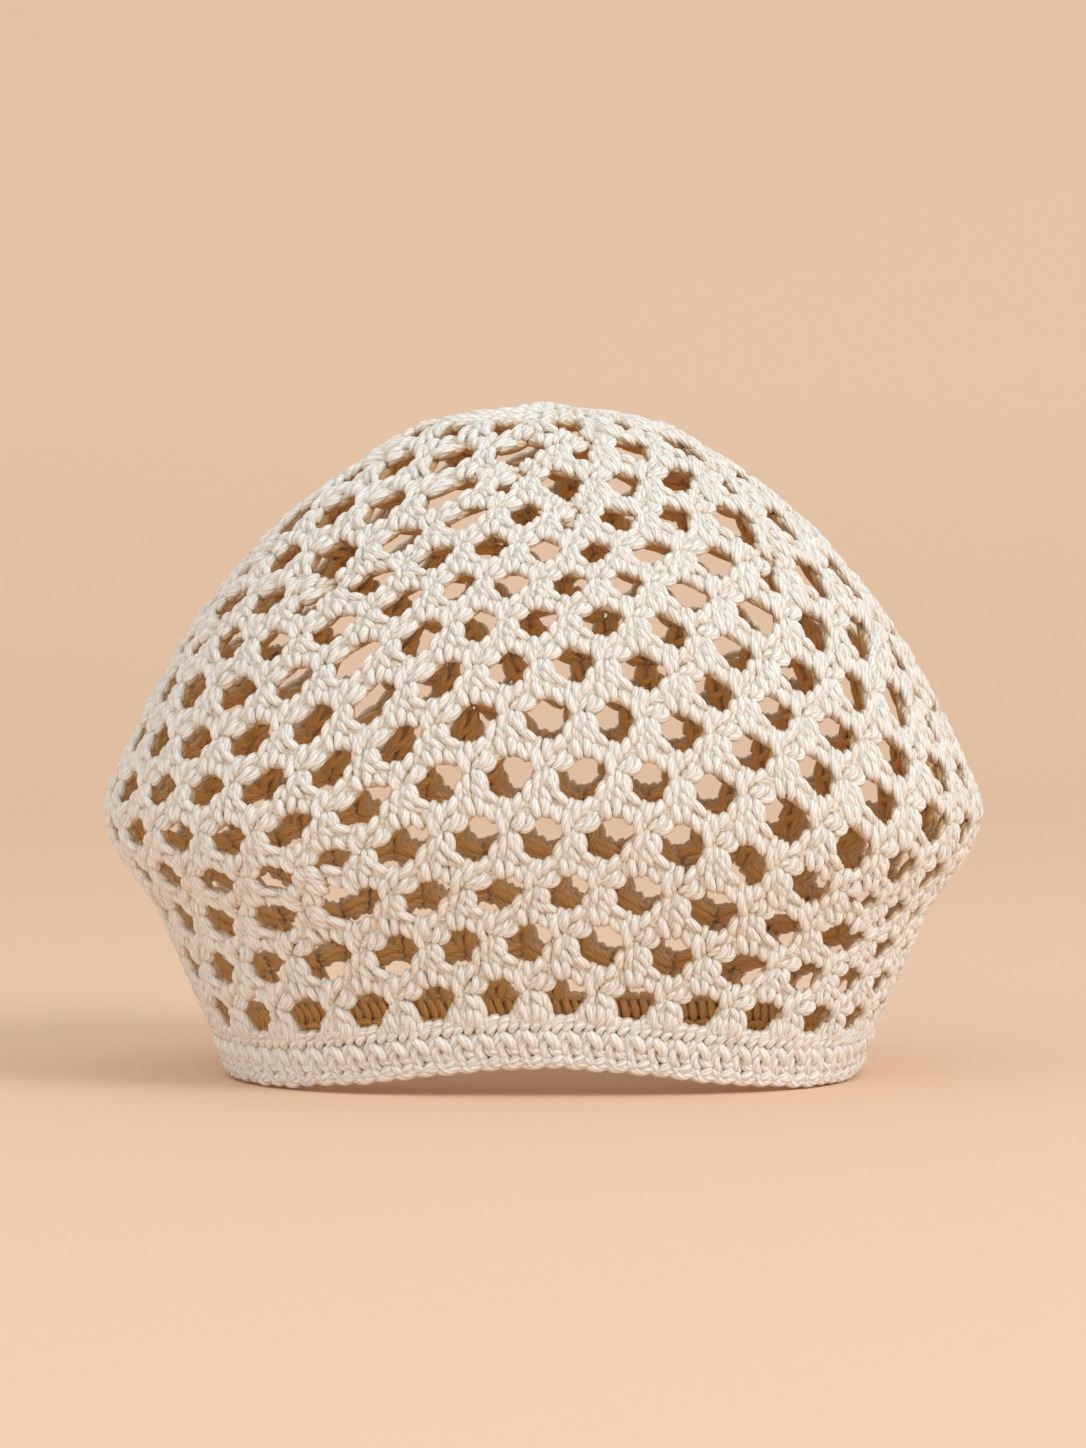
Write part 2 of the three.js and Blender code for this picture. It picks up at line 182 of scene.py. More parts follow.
RIGHT_ARM_CHART = [
    {"path": [(8, 15), (16, 11), (25, 5)], "depth": 0.35, "thick": 1.02, "tuck": (1.2, 1.2)},
    {"path": [(10, 3), (13, -5), (19, -11.5)], "depth": 0.9, "thick": 1.12, "tuck": (1.2, 1.2)},
    {"path": [(16, 5), (19, -2), (22, -8)], "depth": 1.7, "thick": 1.05, "tuck": (0.6, 0.6)},
    {
        "path": [(24.5, 0), (24.5, -8), (26, -16), (29.5, -22)],
        "depth": 0.5, "thick": 1.05, "tuck": (1.2, 1.2),
    },
    {"path": [(26, 1), (29, -8), (33, -17)], "depth": 0.9, "thick": 1.0, "tuck": (1.2, 1.2)},
    {"path": [(33, 6), (33.5, -2), (34.5, -11)], "depth": 0.5, "thick": 1.05, "tuck": (1.1, 1.3)},
    {"path": [(28.5, 8), (27, 2), (28.5, -5)], "depth": 1.35, "thick": 1.0, "tuck": (0.8, 0.8)},
]
LEFT_ARM_CHART = [
    {"path": [(2, 0), (6, 4.5), (11, 10)], "depth": 1.5, "thick": 1.1, "tuck": (0.8, 0.6)},
    {"path": [(8, -1), (13, 5), (14, 14)], "depth": 0.5, "thick": 1.05, "tuck": (1.3, 1.1)},
    {"path": [(12, -1.5), (18, 1), (22, 5.5), (20.5, 12)], "depth": 0.9, "thick": 1.08, "tuck": (1.3, 1.2)},
    {"path": [(12, 27), (9, 20), (5, 13)], "depth": 0.7, "thick": 1.06, "tuck": (1.1, 1.2)},
    {"path": [(4, 23), (3, 16), (3, 8)], "depth": 1.35, "thick": 1.0, "tuck": (0.8, 0.8)},
    {"path": [(15, 28), (16, 21), (14, 14)], "depth": 1.8, "thick": 1.1, "tuck": (0.5, 0.5)},
    {"path": [(17, 15), (17, 9), (18, 3)], "depth": 1.5, "thick": 1.0, "tuck": (0.6, 0.6)},
]
# The thick cords inside each strut, and the plainer cords of its inner face.
POST_INNER_CHART = [
    {"path": [(0, 0), (-1, -18), (0, -38)], "depth": 1.9, "thick": 1.15, "tuck": (0, 0)},
    {"path": [(-5, -1), (-8, -18), (-7, -36)], "depth": 2.4, "thick": 1.45, "tuck": (0, 0)},
    {"path": [(6, -2), (7, -18), (6, -36)], "depth": 2.4, "thick": 1.45, "tuck": (0, 0)},
    {"path": [(-6, 2), (-7, -16), (-4, -34)], "depth": 3.7, "thick": 1.07, "tuck": (-0.8, -0.8)},
    {"path": [(6, 1), (7, -17), (4, -34)], "depth": 3.7, "thick": 1.07, "tuck": (-0.8, -0.8)},
    {"path": [(-8, -9), (0, -15), (8, -22)], "depth": 4.2, "thick": 1.0, "tuck": (-1.0, -1.0)},
]
FOOT_INNER_CHART = POST_INNER_CHART + [
    {"path": [(-11, -15), (-15, -25), (-17, -36)], "depth": 2.3, "thick": 1.2, "tuck": (0, 0)},
    {"path": [(12, -15), (15, -25), (17, -36)], "depth": 2.3, "thick": 1.2, "tuck": (0, 0)},
]
RIGHT_INNER_CHART = [
    {"path": [(0, 8), (14, 6), (30, -1)], "depth": 2.4, "thick": 1.38, "tuck": (0, 0)},
    {"path": [(0, -2), (14, -4), (29, -11)], "depth": 2.4, "thick": 1.38, "tuck": (0, 0)},
    {"path": [(1, 4), (16, 2), (32, -6)], "depth": 3.8, "thick": 1.1, "tuck": (-0.8, -0.8)},
]
LEFT_INNER_CHART = [
    {"path": [(3, 2), (15, 6), (31, 14)], "depth": 2.4, "thick": 1.38, "tuck": (0, 0)},
    {"path": [(2, 12), (14, 17), (30, 24)], "depth": 2.4, "thick": 1.38, "tuck": (0, 0)},
    {"path": [(2, 6), (16, 11), (32, 18)], "depth": 3.8, "thick": 1.1, "tuck": (-0.8, -0.8)},
]

# One stitch of the band, in units across and up from its lower left corner. A stitch is BAND_STITCH wide.
BAND_STITCH = 20.0
BAND_STITCHES = 94
BAND_CHART = [
    {"path": [(-1, 17), (3, 12), (8, 8)], "depth": 0.8, "thick": 1.16, "tuck": (1.2, 1.2)},
    {"path": [(19, 18), (14, 12), (9, 8)], "depth": 0.6, "thick": 1.15, "tuck": (1.2, 1.2)},
    {"path": [(4, 34), (0, 27), (2, 19), (7, 14)], "depth": 0.7, "thick": 1.15, "tuck": (1.2, 1.2)},
    {"path": [(1, 41), (6, 36), (11, 30), (13, 24)], "depth": 0.3, "thick": 1.28, "tuck": (1.3, 1.1)},
    {"path": [(20, 43), (18, 36), (16, 28)], "depth": 0.8, "thick": 1.08, "tuck": (1.1, 1.2)},
    {"path": [(7, 24), (13, 20), (21, 22)], "depth": 0.8, "thick": 1.15, "tuck": (1.1, 1.2)},
    {"path": [(1, 42), (3, 48), (8, 52)], "depth": 0.8, "thick": 1.15, "tuck": (1.0, 1.6)},
    {"path": [(11, 42), (13, 48), (18, 52)], "depth": 0.8, "thick": 1.15, "tuck": (1.0, 1.6)},
    {"path": [(0, 48), (4, 54), (10, 57)], "depth": 1.2, "thick": 1.1, "tuck": (0.8, 0.8)},
    {"path": [(10, 48), (14, 54), (20, 57)], "depth": 1.2, "thick": 1.1, "tuck": (0.8, 0.8)},
    {"path": [(0, 52), (10, 54), (20, 52)], "depth": 2.5, "thick": 1.15, "tuck": (0, 0)},
    {"path": [(0, 13), (10, 11), (20, 13)], "depth": 2.4, "thick": 1.3, "tuck": (0, 0)},
    {"path": [(0, 25), (10, 23), (20, 25)], "depth": 2.3, "thick": 1.4, "tuck": (0, 0)},
    {"path": [(0, 39), (10, 38), (20, 39)], "depth": 2.3, "thick": 1.4, "tuck": (0, 0)},
]
BAND_INNER_CHART = [
    {"path": [(2, 6), (4, 16), (8, 27)], "depth": 4.0, "thick": 1.1, "tuck": (-0.8, -0.8)},
    {"path": [(12, 6), (14, 16), (18, 27)], "depth": 4.0, "thick": 1.1, "tuck": (-0.8, -0.8)},
    {"path": [(0, 26), (9, 29), (20, 26)], "depth": 4.2, "thick": 1.1, "tuck": (-0.8, -0.8)},
    {"path": [(2, 30), (4, 40), (8, 50)], "depth": 4.0, "thick": 1.1, "tuck": (-0.8, -0.8)},
    {"path": [(12, 30), (14, 40), (18, 50)], "depth": 4.0, "thick": 1.1, "tuck": (-0.8, -0.8)},
]
EDGE_CHART = [
    {"path": [(-4, 11.5), (4, 7), (14, 6.2), (24, 11)], "depth": 1.2, "thick": 1.15, "tuck": (1.4, -0.2)},
    {"path": [(-3, 8.5), (7, 6.5), (17, 6.5), (25, 8.5)], "depth": 3.2, "thick": 1.1, "tuck": (-0.2, 0.6)},
]


TINY = 1e-12


def smooth(share):
    """Eases a share from 0 to 1."""
    t = np.clip(share, 0, 1)
    return t * t * (3 - 2 * t)


def through(a, b, c, d, t):
    """The place at t on a smooth curve from b to c, which comes from a and goes on to d."""
    bend = 2 * b - 2 * c + (c - a) / 2 + (d - b) / 2
    lean = -3 * b + 3 * c - (c - a) - (d - b) / 2
    return ((bend * t + lean) * t + (c - a) / 2) * t + b


def sample_outline():
    """The outline as close samples, and the rise of each along the side of the hat."""
    rows = np.array(OUTLINE, float)
    last = len(rows) - 1
    samples = []
    for i in range(last):
        four = rows[np.clip([i - 1, i, i + 1, i + 2], 0, last)]
        for t in np.arange(OUTLINE_SAMPLES) / OUTLINE_SAMPLES:
            samples.append(through(*four, t))
    samples.append(rows[last])
    samples = np.array(samples)
    steps = np.hypot(np.diff(samples[:, 0]), np.diff(samples[:, 1]))
    return samples, np.concatenate([[0], np.cumsum(steps)])


SAMPLES, SAMPLE_RISES = sample_outline()
FULL_RISE = SAMPLE_RISES[-1]
NET_TOP = FULL_RISE - CENTRE_RADIUS


def outline_at(rise):
    """The outline's columns at a rise."""
    return [np.interp(rise, SAMPLE_RISES, SAMPLES[:, i]) for i in range(len(OUTLINE_COLUMNS))]


def lift_at(angle, rise):
    """How far the hem's arches lift the fabric."""
    lift = np.zeros(np.broadcast(angle, rise).shape)
    for row in HEM_LIFTS:
        off = np.abs((angle - math.radians(row["middle"]) + math.pi) % TURN - math.pi)
        share = smooth(1 - off / math.radians(row["half_span"]))
        fade = smooth((rise - row["fade_from"]) / (row["fade_to"] - row["fade_from"]))
        lift += row["lift"] * share * (1 - fade)
    return lift


def sag_at(angle, rise):
    """How far the rounds sag below a level ring."""
    sag = np.zeros(np.broadcast(angle, rise).shape)
    for row in SIDE_SAGS:
        round_from_ends = np.degrees(np.arcsin(np.clip(np.sin(angle) * row["side"], 0, 1)))
        share = smooth((round_from_ends - row["starts"]) / (row["full"] - row["starts"]))
        grown = smooth((rise - row["from"]) / (row["full_from"] - row["from"]))
        fade = smooth((rise - row["full_to"]) / (row["to"] - row["full_to"]))
        sag += row["sag"] * share * grown * (1 - fade)
    return sag


def face_point(turn, rise):
    """The point of the outer face at a turn and a rise, in mm."""
    even = turn * TURN
    angle = even + FRONT_SPREAD / 2 * np.sin(2 * even)
    level = rise + lift_at(angle, rise) - sag_at(angle, rise)
    height, half_width, half_depth, square = outline_at(level)
    across = np.abs(np.sin(angle)) / half_width
    along = np.abs(np.cos(angle)) / half_depth
    reach = (across**square + along**square) ** (-1 / square)
    return np.stack([reach * np.sin(angle), -reach * np.cos(angle), height], -1)


def unit(vectors):
    """The vectors at a length of 1."""
    return vectors / np.maximum(np.linalg.norm(vectors, axis=-1, keepdims=True), TINY)


def outward_at(turn, rise):
    """The way out of the fabric, against which depth is measured."""
    low = np.minimum(rise, NET_TOP + CENTRE_RADIUS / 2)
    side = face_point(turn + FEEL["turn"], low) - face_point(turn - FEEL["turn"], low)
    up = face_point(turn, low + FEEL["rise"]) - face_point(turn, np.maximum(0, low - FEEL["rise"]))
    out = unit(np.cross(side, up))
    out[..., 2] *= smooth((rise - LEVEL_UP_TO) / (SQUARE_FROM - LEVEL_UP_TO))
    return unit(out)


def round_length(rise):
    """The length once round the hat at a rise, in mm."""
    turns = np.arange(ROUND_STEPS + 1) / ROUND_STEPS
    points = face_point(turns, np.full(ROUND_STEPS + 1, float(rise)))
    return float(np.linalg.norm(np.diff(points, axis=0), axis=1).sum())


LENGTH_RISES = np.linspace(0, FULL_RISE - 1, LENGTH_SAMPLES)
LENGTHS = np.array([round_length(rise) for rise in LENGTH_RISES])


def length_at(rise):
    return float(np.interp(rise, LENGTH_RISES, LENGTHS))


# The fabric's slow wanders up and along, in mm: so many waves once round, which lean by one radian for so
# many mm of rise. They fade out toward the band and the crown's middle.
WANDERS_UP = [
    {"size": 1.0, "waves": 3, "lean": 21, "phase": 1.3},
    {"size": 0.8, "waves": 8, "lean": -13, "phase": 4.0},
]
WANDERS_ALONG = [
    {"size": 1.1, "waves": 5, "lean": -17, "phase": 0.4},
    {"size": 0.7, "waves": 11, "lean": 9, "phase": 2.2},
]
WANDER = {"from": 12, "fade": 30, "round": 560}


def wander(rows, turn, rise):
    """The rows' waves together."""
    return sum(
        row["size"] * np.sin(TURN * row["waves"] * turn + rise / row["lean"] + row["phase"]) for row in rows
    )


def hand_made(turn, rise):
    """Small slow wanders of the fabric, so that no two stitches lie quite alike."""
    held = smooth((rise - WANDER["from"]) / WANDER["fade"]) * smooth((FULL_RISE - rise) / WANDER["fade"])
    along = wander(WANDERS_ALONG, turn, rise) * held
    return turn + along / WANDER["round"], rise + wander(WANDERS_UP, turn, rise) * held


class Cords:
    """Gathers cords, each a few places on the hat, and makes them one mesh of tubes."""

    def __init__(self):
        self.rows = []

    def add(self, places, radius, tuck, fineness):
        """Adds a cord of so many steps between each two of its places, and so many sides."""
        steps = fineness["steps"] * (len(places) - 1)
        self.rows.append((np.array(places, float), radius, tuck, steps, fineness["sides"], chance.random()))

    def mesh(self, name):
        kinds = sorted({(len(row[0]), row[3], row[4]) for row in self.rows})
        parts = []
        for kind in kinds:
            rows = [row for row in self.rows if (len(row[0]), row[3], row[4]) == kind]
            parts.append(tubes(rows, *kind))
        return join_parts(name, parts)


END_REACH = 0.03  # how far a cord goes on past its charted ends, for its length
END_TAPER = 0.72  # how thick a cord is at its ends, for its middle
TUCK_POWER = 4  # how near its ends a cord starts to tuck in
TAPER_POWER = 3  # how near its ends a cord starts to taper
TWIST_SPREAD = 7  # how far the twists of two cords may be shifted, in radii of the cord
OUTER_CORD = {"steps": 2, "sides": 6}
INNER_CORD = {"steps": 2, "sides": 5}
EDGE_CORD = {"steps": 3, "sides": 7}


def spread_matrix(count, steps):
    """How each of the steps + 1 points of a smooth line mixes its count places."""
    mix = np.zeros((steps + 1, count))
    identity = np.eye(count)
    for step in range(steps + 1):
        at = (step / steps * (1 + 2 * END_REACH) - END_REACH) * (count - 1)
        i = min(max(int(at), 0), count - 2)
        ahead = identity[i + 2] if i + 2 < count else 2 * identity[i + 1] - identity[i]
        behind = identity[i - 1] if i > 0 else 2 * identity[i] - identity[i + 1]
        mix[step] = through(behind, identity[i], identity[i + 1], ahead, at - i)
    return mix


def quad_corners(strands, steps, sides):
    """The corners of every quad, and where each strand's points begin."""
    base = np.arange(strands)[:, None, None] * (steps + 1) * sides
    k = np.arange(steps)[None, :, None] * sides
    j = np.arange(sides)[None, None, :]
    after = (j + 1) % sides
    quads = np.stack([base + k + j, base + k + after, base + k + sides + after, base + k + sides + j], -1)
    return quads, base


def quad_map(along, sides):
    """The corners of every quad on the map, whose X goes once round the cord and whose Y goes along it."""
    shape = (len(along), along.shape[1] - 1, sides)
    low = np.broadcast_to(along[:, :-1, None], shape)
    high = np.broadcast_to(along[:, 1:, None], shape)
    left = np.broadcast_to(np.arange(sides)[None, None, :] / sides, shape)
    right = left + 1 / sides
    corners = ((left, low), (right, low), (right, high), (left, high))
    return np.stack([np.stack(corner, -1) for corner in corners], -2)


def tubes(rows, count, steps, sides):
    """All the cords of one kind: their points, quads and end faces, and the values for the material."""
    places = np.stack([row[0] for row in rows])
    radius = np.array([row[1] for row in rows])
    tuck = np.array([row[2] for row in rows])
    tint = np.array([row[5] for row in rows])
    line = np.einsum("kc,scx->skx", spread_matrix(count, steps), places)
    t = np.linspace(0, 1, steps + 1)
    depth = line[..., 2] + tuck[:, :1] * (1 - t) ** TUCK_POWER + tuck[:, 1:] * t**TUCK_POWER
    turn, rise = hand_made(line[..., 0], line[..., 1])
    out = outward_at(turn, rise)
    centre = face_point(turn, rise) - out * depth[..., None]
    ahead = unit(np.gradient(centre, axis=1))
    side = unit(np.cross(ahead, out))
    lift = unit(np.cross(side, ahead))
    taper = 1 - (1 - END_TAPER) * np.abs(2 * t - 1) ** TAPER_POWER
    thick = radius[:, None] * taper
    around = np.arange(sides) / sides * TURN
    ring = np.cos(around)[:, None] * side[:, :, None] + np.sin(around)[:, None] * lift[:, :, None]
    points = centre[:, :, None] + ring * thick[:, :, None, None]

    quads, base = quad_corners(len(rows), steps, sides)
    first = base[:, 0] + np.arange(sides)[::-1]
    last = base[:, 0] + steps * sides + np.arange(sides)
    ends = np.concatenate([first, last])

    reach = np.linalg.norm(np.diff(centre, axis=1), axis=-1)
    along = np.concatenate([np.zeros((len(rows), 1)), np.cumsum(reach, axis=1)], axis=1) / CORD
    along = along + tint[:, None] * TWIST_SPREAD
    # How far in each point round the cord lies. This sets the painted shade: deeper points and each cord's
    # inward side are painted darker and warmer.
    painted_shade_depth = depth[..., None] - np.sin(around) * thick[..., None]
    return {
        "points": points.reshape(-1, 3) * MM,
        "quads": quads.reshape(-1, 4),
        "ends": ends,
        "quad_uv": quad_map(along, sides).reshape(-1, 2),
        "end_uv": np.zeros((ends.size, 2)),
        "tint": np.repeat(tint, (steps + 1) * sides),
        "painted_shade_depth": painted_shade_depth.ravel(),
    }


def join_parts(name, parts):
    """One mesh object from the parts that tubes() makes."""
    offset = 0
    corners, totals, uvs = [], [], []
    for part in parts:
        for faces, uv in ((part["quads"], part["quad_uv"]), (part["ends"], part["end_uv"])):
            corners.append((faces + offset).ravel())
            totals.append(np.full(len(faces), faces.shape[1]))
            uvs.append(uv)
        offset += len(part["points"])
    corners, totals, uvs = np.concatenate(corners), np.concatenate(totals), np.concatenate(uvs)
    starts = np.concatenate([[0], np.cumsum(totals)[:-1]])
    points = np.concatenate([part["points"] for part in parts])
    mesh = bpy.data.meshes.new(name)
    mesh.vertices.add(len(points))
    mesh.vertices.foreach_set("co", points.astype(np.float32).ravel())
    mesh.loops.add(len(corners))
    mesh.loops.foreach_set("vertex_index", corners.astype(np.int32))
    mesh.polygons.add(len(totals))
    mesh.polygons.foreach_set("loop_start", starts.astype(np.int32))
    mesh.polygons.foreach_set("use_smooth", np.ones(len(totals), bool))
    mesh.update(calc_edges=True)
    layer = mesh.uv_layers.new(name="Cord")
    layer.uv.foreach_set("vector", uvs.astype(np.float32).ravel())
    for key in ("tint", "painted_shade_depth"):
        values = np.concatenate([part[key] for part in parts])
        mesh.attributes.new(key, "FLOAT", "POINT").data.foreach_set("value", values.astype(np.float32))
    mesh.validate()
    piece = bpy.data.objects.new(name, mesh)
    bpy.context.scene.collection.objects.link(piece)
    return piece


SLOPE_STEP = 0.01  # the share of a turn over which a round's slope is read


def slope_at(turn, rise):
    """How steeply a round climbs at a turn."""
    levels = []
    for t in (turn - SLOPE_STEP, turn + SLOPE_STEP):
        levels.append(rise + lift_at(t * TURN, rise) - sag_at(t * TURN, rise))
    return (levels[1] - levels[0]) / (2 * SLOPE_STEP * length_at(rise))


def evened(turns):
    """The holes of a round drawn a little towards even spacing."""
    for _ in range(EVENING["passes"]):
        before = np.concatenate([[turns[-1] - 1], turns[:-1]])
        after = np.concatenate([turns[1:], [turns[0] + 1]])
        turns = turns + EVENING["share"] * (before + after - 2 * turns)
    return turns


def away(turns, degrees):
    """How far each turn is from a place given in degrees."""
    return np.abs((turns - degrees / 360 + 0.5) % 1 - 0.5)


def rounds_of_holes():
    """The turn and the rise of every hole, round by round."""
    turns = (np.arange(FIRST_ROUND["holes"]) + FIRST_ROUND["phase"]) / FIRST_ROUND["holes"]
    rounds = [turns]
    for below, row in zip(ROUNDS, ROUNDS[1:]):
        turns = (turns + np.concatenate([turns[1:], [turns[0] + 1]])) / 2
        climb = (row["rise"] - below["rise"]) / length_at(row["rise"])
        turns = turns - COLUMN_LEAN * climb * slope_at(turns, row["rise"])
        for degrees in row["drops"]:
            turns = np.delete(turns, np.argmin(away(turns, degrees)))
        for degrees in row["adds"]:
            nearest = turns[np.argmin(away(turns, degrees))]
            turns = np.sort(np.append(turns, nearest + 0.5 / len(turns)))
        turns = evened(turns)
        rounds.append(turns)
    return [[(float(turn), row["rise"]) for turn in turns] for turns, row in zip(rounds, ROUNDS)]


def span(a, b):
    """The way over the fabric from a to b, in mm along and up."""
    along = (b[0] - a[0] + 0.5) % 1 - 0.5
    return complex(along * length_at((a[1] + b[1]) / 2), b[1] - a[1])


def knots_between(lower, upper):
    """The knots between two rounds, in order round the hat.

    A top knot is over a post and a foot knot under one. Each knot knows how far the chart's unit to the
    right and its unit up reach over the fabric there.
    """
    def place(ring, n):
        turn, rise = ring[n % len(ring)]
        return turn + n // len(ring), rise

    start = min(range(-1, 2), key=lambda n: abs(place(upper, n)[0] - place(lower, 0)[0] - 0.5 / len(upper)))
    i, j, knots = 0, start, []
    while i < len(lower) or j < start + len(upper):
        a, b = place(lower, i), place(upper, j)
        lower_next, upper_next = place(lower, i + 1), place(upper, j + 1)
        takes_lower = j >= start + len(upper) or (
            i < len(lower) and a[0] + lower_next[0] <= b[0] + upper_next[0]
        )
        c = lower_next if takes_lower else upper_next
        knot = {"at": ((a[0] + b[0] + c[0]) / 3, (a[1] + b[1] + c[1]) / 3)}
        if takes_lower:
            right, up = span(a, c), (span(a, b) + span(c, b)) / 2
            knot.update(kind="top", post=i % len(lower))
            i += 1
        else:
            right, up = span(b, c), (span(a, b) + span(a, c)) / 2
            knot.update(kind="foot", post=j % len(upper))
            j += 1
        knot["right"] = right / CHART_HOLE
        knot["up"] = up / CHART_ROW
        knots.append(knot)
    return knots


# How far by chance a cord strays from its chart: its place in mm, its depth in mm and its thickness.
STRAY = {"place": 0.2, "depth": 0.12, "thick": 0.06}


def lay_chart(cords, chart, start, end, line, fineness):
    """Lays a chart from knot to knot, skewed as the mesh is there. The line is the strut's in the chart."""
    right = (start["right"] + end["right"]) / 2
    up = (start["up"] + end["up"]) / 2
    turn, rise = start["at"]
    length = length_at((rise + end["at"][1]) / 2)
    begin = (span(start["at"], end["at"]) - line[0] * right - line[1] * up) / 2
    for row in chart:
        drift = complex(chance.gauss(0, STRAY["place"]), chance.gauss(0, STRAY["place"]))
        depth = row["depth"] + chance.gauss(0, STRAY["depth"])
        places = []
        for x, y in row["path"]:
            offset = begin + x * right + y * up + drift
            places.append((turn + offset.real / length, rise + offset.imag, depth))
        radius = CORD * row["thick"] * chance.uniform(1 - STRAY["thick"], 1 + STRAY["thick"])
        cords.add(places, radius, row["tuck"], fineness)


POST_LINE = (0.0, -CHART_ROW * 2 / 3)
RIGHT_LINE = (CHART_HOLE / 2, -CHART_ROW / 3)
LEFT_LINE = (CHART_HOLE / 2, CHART_ROW / 3)


def lay_strut(cords, kind, start, end):
    """Lays a post or an arm, outer cords and inner ones."""
    outer, inner, nominal = {
        "foot": (FOOT_CHART, FOOT_INNER_CHART, POST_LINE),
        "post": (POST_CHART, POST_INNER_CHART, POST_LINE),
        "right": (RIGHT_ARM_CHART, RIGHT_INNER_CHART, RIGHT_LINE),
        "left": (LEFT_ARM_CHART, LEFT_INNER_CHART, LEFT_LINE),
    }[kind]
    lay_chart(cords, outer, start, end, nominal, OUTER_CORD)
    lay_chart(cords, inner, start, end, nominal, INNER_CORD)


def between(ring):
    """The turns midway between each hole of a round and the next one."""
    after = ring[1:] + [(ring[0][0] + 1, ring[0][1])]
    return [(a[0] + b[0]) / 2 for a, b in zip(ring, after)]


def make_net():
    """The mesh of the crown: a post between each two holes of a round, and arms from knot to knot."""
    rounds = rounds_of_holes()
    tops = [{} for _ in rounds]
    feet = [{} for _ in rounds]
    arms = [[] for _ in rounds]
    for r in range(len(rounds) - 1):
        knots = knots_between(rounds[r], rounds[r + 1])
        for i, knot in enumerate(knots):
            after = knots[(i + 1) % len(knots)]
            (tops[r] if knot["kind"] == "top" else feet[r + 1])[knot["post"]] = knot
            arms[r].append(("right" if knot["kind"] == "foot" else "left", knot, after))
    for i, turn in enumerate(between(rounds[0])):
        feet[0][i] = {**tops[0][i], "at": (turn, NET_FOOT)}
    for i, turn in enumerate(between(rounds[-1])):
        tops[-1][i] = {**feet[-1][i], "at": (turn, NET_CLOSES)}
    pieces = []
    for name, first, after_last in NET_PIECES:
        cords = Cords()
        for r in range(first, after_last):
            for i in range(len(rounds[r])):
                lay_strut(cords, "post" if r else "foot", tops[r][i], feet[r][i])
            for kind, start, end in arms[r]:
                lay_strut(cords, kind, start, end)
        pieces.append(cords.mesh(name))
    return pieces


# How far by chance the band's cords stray: along and up in mm, their depth in mm and their thickness.
BAND_STRAY = {"along": 0.12, "up": 0.15, "depth": 0.08, "thick": 0.05}
BAND_ROUND = 520  # the band's length round the hat in mm


def lay_round(cords, chart, fineness):
    """Repeats a chart of the band once round the hat."""
    for i in range(BAND_STITCHES):
        for row in chart:
            along, up = chance.gauss(0, BAND_STRAY["along"]), chance.gauss(0, BAND_STRAY["up"])
            depth = row["depth"] + chance.gauss(0, BAND_STRAY["depth"])
            places = []
            for x, y in row["path"]:
                turn = (i + x / BAND_STITCH) / BAND_STITCHES + along / BAND_ROUND
                places.append((turn, y * UNIT + up, depth))
            thick = row["thick"] * chance.uniform(1 - BAND_STRAY["thick"], 1 + BAND_STRAY["thick"])
            cords.add(places, CORD * thick, row["tuck"], fineness)


def make_band():
    """The close rows of stitches round the head."""
    cords = Cords()
    lay_round(cords, BAND_CHART, OUTER_CORD)
    lay_round(cords, BAND_INNER_CHART, INNER_CORD)
    return cords.mesh("band_stitches")


def make_edge():
    """The row of loops along the hem."""
    cords = Cords()
    lay_round(cords, EDGE_CHART, EDGE_CORD)
    return cords.mesh("hem_edge_loops")


# The close stitches round the crown's middle and in it: rings of slanting cords, by how far they start and
# end from the middle in mm, how many lie side by side and how far each slants, for its share of the ring.
COLLAR_CHART = [
    {"from": 29.5, "to": 20.5, "slant": 0.8, "count": 38, "depth": 0.9, "thick": 1.08},
    {"from": 22.0, "to": 13.5, "slant": 0.8, "count": 27, "depth": 0.7, "thick": 1.12},
    {"from": 29.0, "to": 19.5, "slant": -0.7, "count": 26, "depth": 3.9, "thick": 1.2},
    {"from": 21.0, "to": 12.5, "slant": -0.7, "count": 20, "depth": 3.9, "thick": 1.2},
]
CENTRE_CHART = [
    {"from": 15.0, "to": 7.0, "slant": 0.8, "count": 18, "depth": 0.8, "thick": 1.12},
    {"from": 8.0, "to": 2.0, "slant": 1.0, "count": 10, "depth": 0.4, "thick": 1.15},
    {"from": 3.5, "to": 0.6, "slant": 1.2, "count": 5, "depth": 0.1, "thick": 1.2},
    {"from": 14.0, "to": 5.0, "slant": -0.7, "count": 16, "depth": 3.9, "thick": 1.2},
    {"from": 6.0, "to": 0.8, "slant": -0.8, "count": 8, "depth": 3.9, "thick": 1.3},
]
# The hoops of thick cord inside those rings.
COLLAR_HOOPS = (26.5, 22.5, 18.5, 15.0)
CENTRE_HOOPS = (11.0, 7.0, 3.0)
HOOP = {"arcs": 12, "depth": 2.4, "thick": 1.65}
RING_STRAY = 0.12  # how far by chance a ring's cords stray along it, for their spacing
RING_TUCK = (1.1, 1.1)
HALVES = (0, 0.5, 1)


def lay_rings(cords, chart, hoops):
    """Lays the rings of a chart round the middle of the crown, and the hoops inside them."""
    for ring in chart:
        for i in range(ring["count"]):
            turn = (i + chance.uniform(-RING_STRAY, RING_STRAY)) / ring["count"]
            places = []
            for t in HALVES:
                radius = ring["from"] + (ring["to"] - ring["from"]) * t
                places.append((turn + ring["slant"] * t / ring["count"], FULL_RISE - radius, ring["depth"]))
            cords.add(places, CORD * ring["thick"], RING_TUCK, OUTER_CORD)
    for radius in hoops:
        for i in range(HOOP["arcs"]):
            places = [((i + t) / HOOP["arcs"], FULL_RISE - radius, HOOP["depth"]) for t in HALVES]
            cords.add(places, CORD * HOOP["thick"], (0, 0), INNER_CORD)


def make_collar():
    """The close stitches that draw the net in round the middle of the crown."""
    cords = Cords()
    lay_rings(cords, COLLAR_CHART, COLLAR_HOOPS)
    return cords.mesh("net_collar")


def make_centre():
    """The closed middle of the crown, drawn in to a small knot."""
    cords = Cords()
    lay_rings(cords, CENTRE_CHART, CENTRE_HOOPS)
    return cords.mesh("crown_centre_knot")


